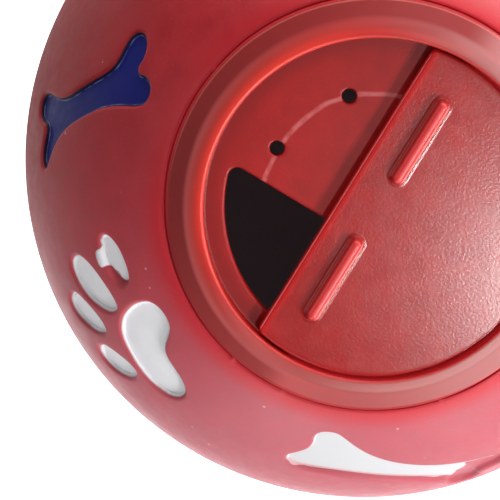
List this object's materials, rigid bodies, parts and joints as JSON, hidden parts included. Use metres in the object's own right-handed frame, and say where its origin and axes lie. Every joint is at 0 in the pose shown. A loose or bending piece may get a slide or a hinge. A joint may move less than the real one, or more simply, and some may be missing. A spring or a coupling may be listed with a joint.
{
  "type": "treat dispensing ball",
  "caption": "Hollow soft pet ball with sunk bone and paw motifs and a hard round insert whose part-disc gate turns over a part-disc opening to let treats fall out.",
  "frame": {"origin": "centre of the ball, on the axis of the mouth and of the gate's pivot", "axes": "+Z out of the mouth along the pivot; +X towards the side that the gate covers at rest; the opening in the insert is on the side of -Y"},
  "size_m": [0.12, 0.12, 0.116],
  "materials": {
    "soft_vinyl": "soft satin moulded vinyl, slightly mottled",
    "insert_plastic": "hard moulded plastic, satin to semi-gloss",
    "gate_plastic": "hard moulded plastic, satin to semi-gloss",
    "screw_steel": "bright zinc plated",
    "blue_paint": "satin paint",
    "white_paint": "satin paint"
  },
  "bodies": {
    "ball": {"ball_shell": "soft_vinyl", "insert": "insert_plastic", "blue_paint": "blue_paint", "white_paint": "white_paint"},
    "gate": {"gate": "gate_plastic", "pivot_screw": "screw_steel", "pivot_washer": "screw_steel"}
  },
  "joints": [
    {"name": "gate_turn", "type": "hinge", "parent": "ball", "child": "gate", "pos_m": [0, 0, 0.0518], "axis": [0, 0, 1], "range_deg": [-90, 90]}
  ]
}
